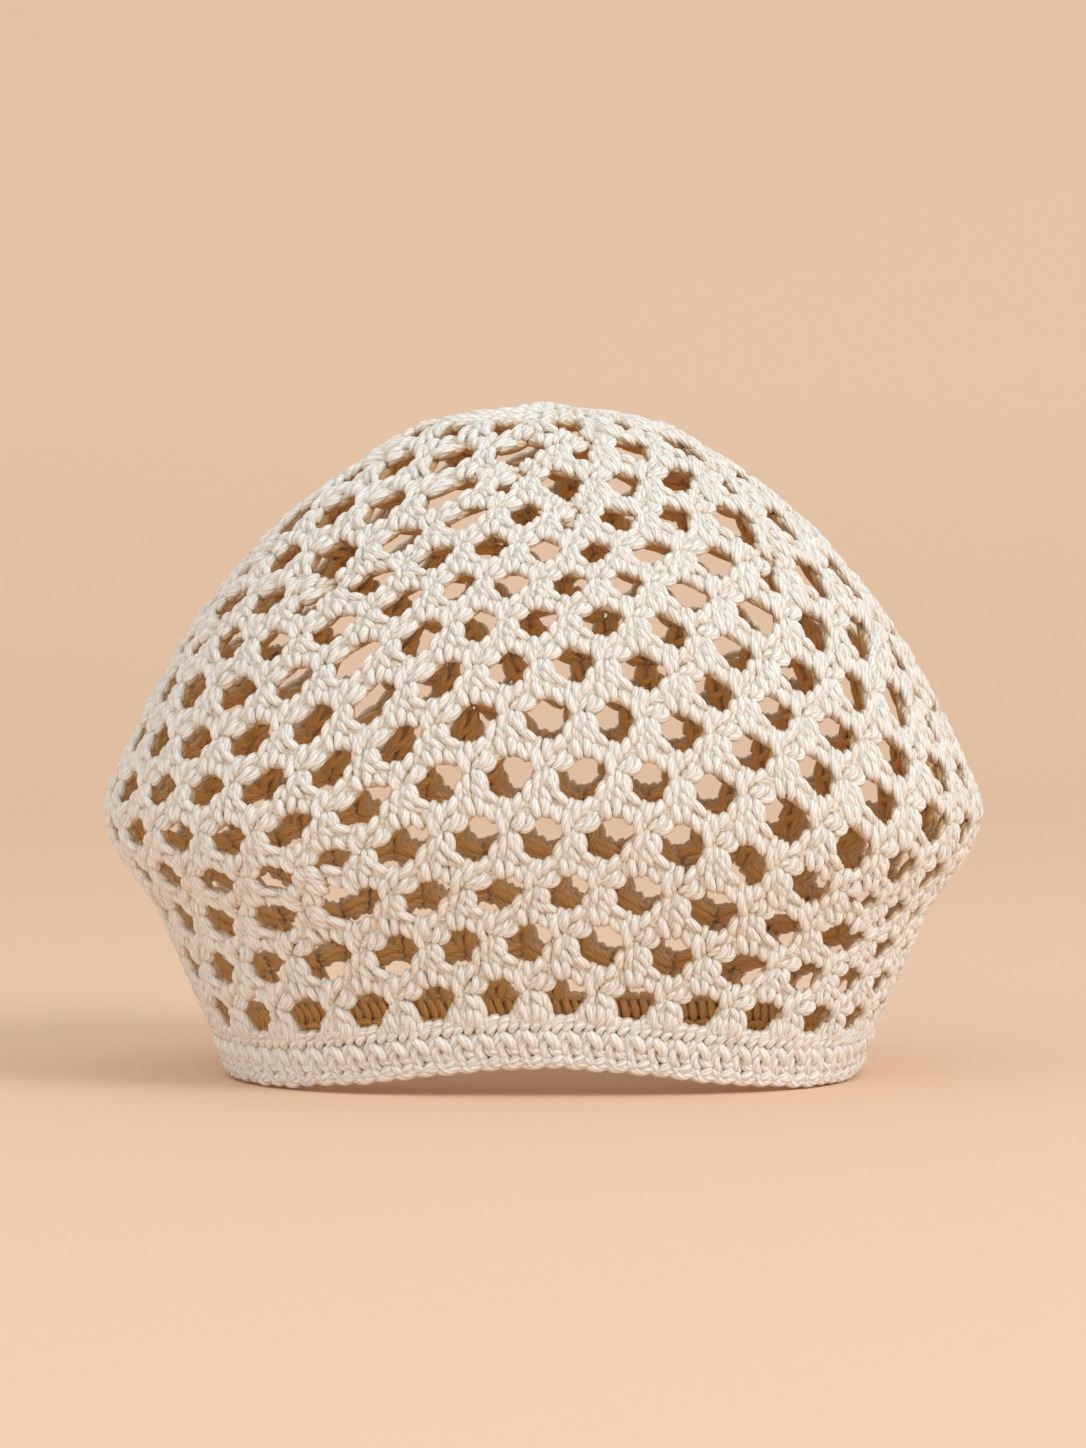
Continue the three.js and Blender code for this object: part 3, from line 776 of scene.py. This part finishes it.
# How the cord's plies and their finer threads wind round it: how many there are, how far they turn for each
# radius of the cord along it, in radians, and how flat their ridges are.
PLIES = {"count": 3, "run": 0.5, "power": 0.5}
THREADS = {"count": 7, "run": 0.42, "power": 0.7}
FIBRES = {"slant": 0.1, "across": 26, "along": 1.6, "detail": 3.0}
CLOUDS = {"scale": 38.0, "detail": 2.0}
# The cord's colour by how far in from the fabric's outer face it lies, in mm: its own off-white at the
# face, and painted shade, darker and warmer, further in, down between the cords, on each cord's inward side
# and on the inner face.
COLOUR_AND_PAINTED_SHADE_BY_DEPTH = [
    {"depth": 0.2, "colour": (0.935, 0.93, 0.91)},
    {"depth": 1.0, "colour": (0.90, 0.84, 0.74)},
    {"depth": 1.9, "colour": (0.84, 0.66, 0.45)},
    {"depth": 4.2, "colour": (0.89, 0.54, 0.20)},
]
# What shades that colour, and between how dark and how light. The tint differs from cord to cord; it, the
# clouds and the fibres are the cord's own tone, and the ply and thread ridges paint shade into the grooves
# between them.
TONES_AND_PAINTED_SHADES = {
    "tint": (0.95, 1.01),
    "cloud": (0.96, 1.04),
    "ply": (0.9, 1.0),
    "thread": (0.88, 1.04),
    "fibre": (0.95, 1.05),
}
# How much further the shade goes in each colour than in green, so that the painted groove shade and the
# cord's own darker tone turn warmer.
WARM_SHADE = {"Red": 0.8, "Green": 1.0, "Blue": 1.25}
RELIEF = {"ply": 0.7, "thread": 0.6, "fibre": 0.3}
BUMP = {"strength": 0.7, "distance": 0.00045}
ROUGHNESS = (0.68, 0.88)
SHEEN = {"weight": 0.25, "roughness": 0.5}
SPECULAR = 0.3
# How far light soaks through the cord, most of all the warm part of it.
GLOW = {"weight": 0.2, "radius": (1.0, 0.8, 0.6), "scale": 0.0014}
# The sockets of a mix node that are for colours, because its others have the same names.
MIX = {"factor": 0, "first": 6, "second": 7, "result": 2}


class Graph:
    """The nodes of a new material, with short ways to add to them."""

    def __init__(self, name):
        self.material = bpy.data.materials.new(name)
        self.material.use_nodes = True
        self.nodes = self.material.node_tree.nodes
        self.link = self.material.node_tree.links.new
        self.shader = self.nodes["Principled BSDF"]

    def node(self, kind, **values):
        made = self.nodes.new(kind)
        for key, value in values.items():
            setattr(made, key, value)
        return made

    def math(self, operation, *terms):
        """Works out a number from terms, each a number or the socket of another node."""
        made = self.node("ShaderNodeMath", operation=operation)
        for socket, term in zip(made.inputs, terms):
            if isinstance(term, (int, float)):
                socket.default_value = term
            else:
                self.link(term, socket)
        return made.outputs[0]

    def between(self, part, low, high):
        """A part that runs from 0 to 1, made to run from low to high."""
        return self.math("ADD", self.math("MULTIPLY", part, high - low), low)

    def split(self, vector):
        made = self.node("ShaderNodeSeparateXYZ")
        self.link(vector, made.inputs[0])
        return made.outputs

    def noise(self, where, scale, detail):
        made = self.node("ShaderNodeTexNoise")
        made.inputs["Scale"].default_value = scale
        made.inputs["Detail"].default_value = detail
        self.link(where, made.inputs["Vector"])
        return made.outputs["Fac"]

    def attribute(self, name):
        return self.node("ShaderNodeAttribute", attribute_name=name).outputs["Fac"]

    def place(self):
        return self.node("ShaderNodeTexCoord").outputs["Object"]


def twisted(graph, cord, strands):
    """Ridges from 0 to 1 that wind round the cord side by side."""
    turned = graph.math("MULTIPLY", cord["X"], TURN)
    phase = graph.math("ADD", turned, graph.math("MULTIPLY", cord["Y"], strands["run"]))
    wave = graph.math("SINE", graph.math("MULTIPLY", phase, strands["count"] / 2))
    return graph.math("POWER", graph.math("ABSOLUTE", wave), strands["power"])


def fibres(graph, cord):
    """Fine streaks that run slantwise along the cord."""
    slant = graph.math("MULTIPLY", cord["Y"], FIBRES["slant"])
    shear = graph.node("ShaderNodeCombineXYZ")
    graph.link(graph.math("ADD", cord["X"], slant), shear.inputs["X"])
    graph.link(cord["Y"], shear.inputs["Y"])
    stretch = graph.node("ShaderNodeMapping")
    stretch.inputs["Scale"].default_value = (FIBRES["across"], FIBRES["along"], 1)
    graph.link(shear.outputs[0], stretch.inputs["Vector"])
    return graph.noise(stretch.outputs["Vector"], 1.0, FIBRES["detail"])


def colour_and_painted_shade(graph):
    """The cord's colour by its depth in the fabric, with painted shade that darkens and warms it deeper in.
    """
    shallow, deep = COLOUR_AND_PAINTED_SHADE_BY_DEPTH[0]["depth"], COLOUR_AND_PAINTED_SHADE_BY_DEPTH[-1]["depth"]
    crevice = graph.node("ShaderNodeMapRange")
    crevice.inputs["From Min"].default_value = shallow
    crevice.inputs["From Max"].default_value = deep
    graph.link(graph.attribute("painted_shade_depth"), crevice.inputs["Value"])
    ramp = graph.node("ShaderNodeValToRGB")
    stops = ramp.color_ramp.elements
    for i, row in enumerate(COLOUR_AND_PAINTED_SHADE_BY_DEPTH):
        at = (row["depth"] - shallow) / (deep - shallow)
        stop = stops[i] if i < len(stops) else stops.new(at)
        stop.position = at
        stop.color = (*row["colour"], 1)
    graph.link(crevice.outputs[0], ramp.inputs[0])
    return ramp.outputs[0]


def warm_shade(graph, shade):
    """A shade as a colour, warmer the darker it is, so the painted shade in the grooves is warm."""
    made = graph.node("ShaderNodeCombineColor")
    for channel, power in WARM_SHADE.items():
        graph.link(graph.math("POWER", shade, power), made.inputs[channel])
    return made.outputs[0]


def cotton():
    """Matte off-white cotton cord of three plies, with painted shade, warmer and darker, down between the
    cords and in the grooves of its plies.
    """
    graph = Graph("cotton_cord")
    cord = graph.split(graph.node("ShaderNodeUVMap", uv_map="Cord").outputs["UV"])
    parts = {
        "tint": graph.attribute("tint"),
        "cloud": graph.noise(graph.place(), CLOUDS["scale"], CLOUDS["detail"]),
        "ply": twisted(graph, cord, PLIES),
        "thread": twisted(graph, cord, THREADS),
        "fibre": fibres(graph, cord),
    }
    # The cord's own tone times the painted shade in the grooves of its plies and threads.
    shade = 1.0
    for name, (low, high) in TONES_AND_PAINTED_SHADES.items():
        shade = graph.math("MULTIPLY", shade, graph.between(parts[name], low, high))
    colour = graph.node("ShaderNodeMix", data_type="RGBA", blend_type="MULTIPLY")
    colour.inputs[MIX["factor"]].default_value = 1.0
    graph.link(colour_and_painted_shade(graph), colour.inputs[MIX["first"]])
    graph.link(warm_shade(graph, shade), colour.inputs[MIX["second"]])
    graph.link(colour.outputs[MIX["result"]], graph.shader.inputs["Base Color"])

    height = 0.0
    for name, size in RELIEF.items():
        height = graph.math("ADD", height, graph.math("MULTIPLY", parts[name], size))
    bump = graph.node("ShaderNodeBump")
    bump.inputs["Strength"].default_value = BUMP["strength"]
    bump.inputs["Distance"].default_value = BUMP["distance"]
    graph.link(height, bump.inputs["Height"])
    graph.link(bump.outputs["Normal"], graph.shader.inputs["Normal"])

    graph.link(graph.between(parts["fibre"], *ROUGHNESS), graph.shader.inputs["Roughness"])
    graph.shader.inputs["Sheen Weight"].default_value = SHEEN["weight"]
    graph.shader.inputs["Sheen Roughness"].default_value = SHEEN["roughness"]
    graph.shader.inputs["Specular IOR Level"].default_value = SPECULAR
    graph.shader.inputs["Subsurface Weight"].default_value = GLOW["weight"]
    graph.shader.inputs["Subsurface Radius"].default_value = GLOW["radius"]
    graph.shader.inputs["Subsurface Scale"].default_value = GLOW["scale"]
    return graph.material


# The floor is flat as far as its reach and then sweeps up to its steepest slope, in degrees. Lengths are in
# metres, and square says how square the floor is.
FLOOR = {"inner": 1.3 / 3, "reach": 1.3, "square": 8, "sides": 96}
SWEEP = {"radius": 2.5, "steepest": 52, "steps": 14}
# The paper's colour on the floor and, a little lighter from so far up its sweep, painted light that
# brightens the sweep.
PAPER = (0.875, 0.625, 0.462)
PAPER_PAINTED_LIGHT_ABOVE = (0.93, 0.675, 0.507)
PAPER_FADE = 0.25
PAPER_ROUGHNESS = 0.95
PAPER_SPECULAR = 0.1


def paper():
    """Plain matte paper, with painted light that makes it a little lighter up its sweep."""
    graph = Graph("backdrop_paper")
    height = graph.node("ShaderNodeMapRange")
    height.inputs["From Max"].default_value = PAPER_FADE
    graph.link(graph.split(graph.place())["Z"], height.inputs["Value"])
    colour = graph.node("ShaderNodeMix", data_type="RGBA")
    colour.inputs[MIX["first"]].default_value = (*PAPER, 1)
    colour.inputs[MIX["second"]].default_value = (*PAPER_PAINTED_LIGHT_ABOVE, 1)
    graph.link(height.outputs[0], colour.inputs[MIX["factor"]])
    graph.link(colour.outputs[MIX["result"]], graph.shader.inputs["Base Color"])
    graph.shader.inputs["Roughness"].default_value = PAPER_ROUGHNESS
    graph.shader.inputs["Specular IOR Level"].default_value = PAPER_SPECULAR
    return graph.material


def make_stage():
    """A plain pale floor that sweeps up gently on each of its four sides."""
    profile = [(FLOOR["inner"], 0.0)]
    for step in range(SWEEP["steps"] + 1):
        angle = math.radians(SWEEP["steepest"]) * step / SWEEP["steps"]
        out = FLOOR["reach"] + SWEEP["radius"] * math.sin(angle)
        profile.append((out, SWEEP["radius"] * (1 - math.cos(angle))))
    square, sides = FLOOR["square"], FLOOR["sides"]
    points = []
    for reach, height in profile:
        for i in range(sides):
            across, along = math.cos(TURN * i / sides), math.sin(TURN * i / sides)
            out = reach * (abs(across) ** square + abs(along) ** square) ** (-1 / square)
            points.append((out * across, out * along, height))
    points.append((0.0, 0.0, 0.0))
    faces = [(len(points) - 1, i, (i + 1) % sides) for i in range(sides)]
    for ring in range(len(profile) - 1):
        low, high = ring * sides, (ring + 1) * sides
        for i in range(sides):
            after = (i + 1) % sides
            faces.append((low + i, high + i, high + after, low + after))
    mesh = bpy.data.meshes.new("backdrop")
    mesh.from_pydata(points, [], faces)
    mesh.polygons.foreach_set("use_smooth", np.ones(len(faces), bool))
    mesh.materials.append(paper())
    backdrop = bpy.data.objects.new("backdrop", mesh)
    bpy.context.scene.collection.objects.link(backdrop)


# A soft light from above and to the right, a broader and dimmer one low from the left, and the room's own
# light from all round. Turn and height are in degrees, turn from the front, and lengths are in metres.
KEY = {"turn": 52, "height": 36, "distance": 3.0, "size": 1.6, "power": 35, "colour": (0.91, 0.98, 1.0)}
FILL = {"turn": -30, "height": 15, "distance": 3.0, "size": 3.0, "power": 19, "colour": (0.78, 1.0, 1.12)}
ROOM = {"strength": 0.75, "colour": (0.97, 0.94, 0.875)}


def make_light():
    """Plain soft studio light."""
    world = bpy.data.worlds.new("studio")
    world.use_nodes = True
    background = world.node_tree.nodes["Background"]
    background.inputs["Color"].default_value = (*ROOM["colour"], 1)
    background.inputs["Strength"].default_value = ROOM["strength"]
    bpy.context.scene.world = world
    for name, row in (("key", KEY), ("fill", FILL)):
        data = bpy.data.lights.new(name, "AREA")
        data.shape = "DISK"
        data.size = row["size"]
        data.energy = row["power"]
        data.color = row["colour"]
        light = bpy.data.objects.new(name, data)
        turn, height = math.radians(row["turn"]), math.radians(row["height"])
        level = math.cos(height)
        shines_from = Vector((math.sin(turn) * level, -math.cos(turn) * level, math.sin(height)))
        light.location = shines_from * row["distance"]
        light.rotation_euler = (-shines_from).to_track_quat("-Z", "Y").to_euler()
        light.visible_camera = False
        bpy.context.scene.collection.objects.link(light)
    bpy.context.scene.view_settings.view_transform = "Standard"


PHOTO_HEIGHT = 1448
BASE_LINE = 1071  # the pixel row of the surface under the hat's middle
CAMERA_ELEVATION = 2.0  # in degrees
CAMERA_DISTANCE = 1.6  # in metres
CAMERA_SEES = 30  # how far the camera sees in metres
SENSOR = 36.0


def make_camera():
    """The camera at the photograph's viewing angle."""
    data = bpy.data.cameras.new("camera")
    data.sensor_width = SENSOR
    data.lens = PIXELS_PER_MM / MM * CAMERA_DISTANCE / PHOTO_HEIGHT * SENSOR
    data.clip_end = CAMERA_SEES
    camera = bpy.data.objects.new("camera", data)
    elevation = math.radians(CAMERA_ELEVATION)
    back = Vector((0, -math.cos(elevation), math.sin(elevation)))
    over_base = (BASE_LINE - PHOTO_HEIGHT / 2) / PIXELS_PER_MM * MM
    aim = Vector((0, 0, over_base / math.cos(elevation)))
    camera.location = aim + back * CAMERA_DISTANCE
    camera.rotation_euler = (-back).to_track_quat("-Z", "Y").to_euler()
    bpy.context.scene.collection.objects.link(camera)
    bpy.context.scene.camera = camera


make_camera()
yarn = cotton()
made = [(piece, "crown_net") for piece in [*make_net(), make_collar()]]
made.append((make_band(), "band"))
made.append((make_edge(), "hem_edge"))
made.append((make_centre(), "crown_centre"))
for piece, node_name in made:
    piece.data.materials.append(yarn)
    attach(piece, "root")
    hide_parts(node_name)
make_stage()
make_light()
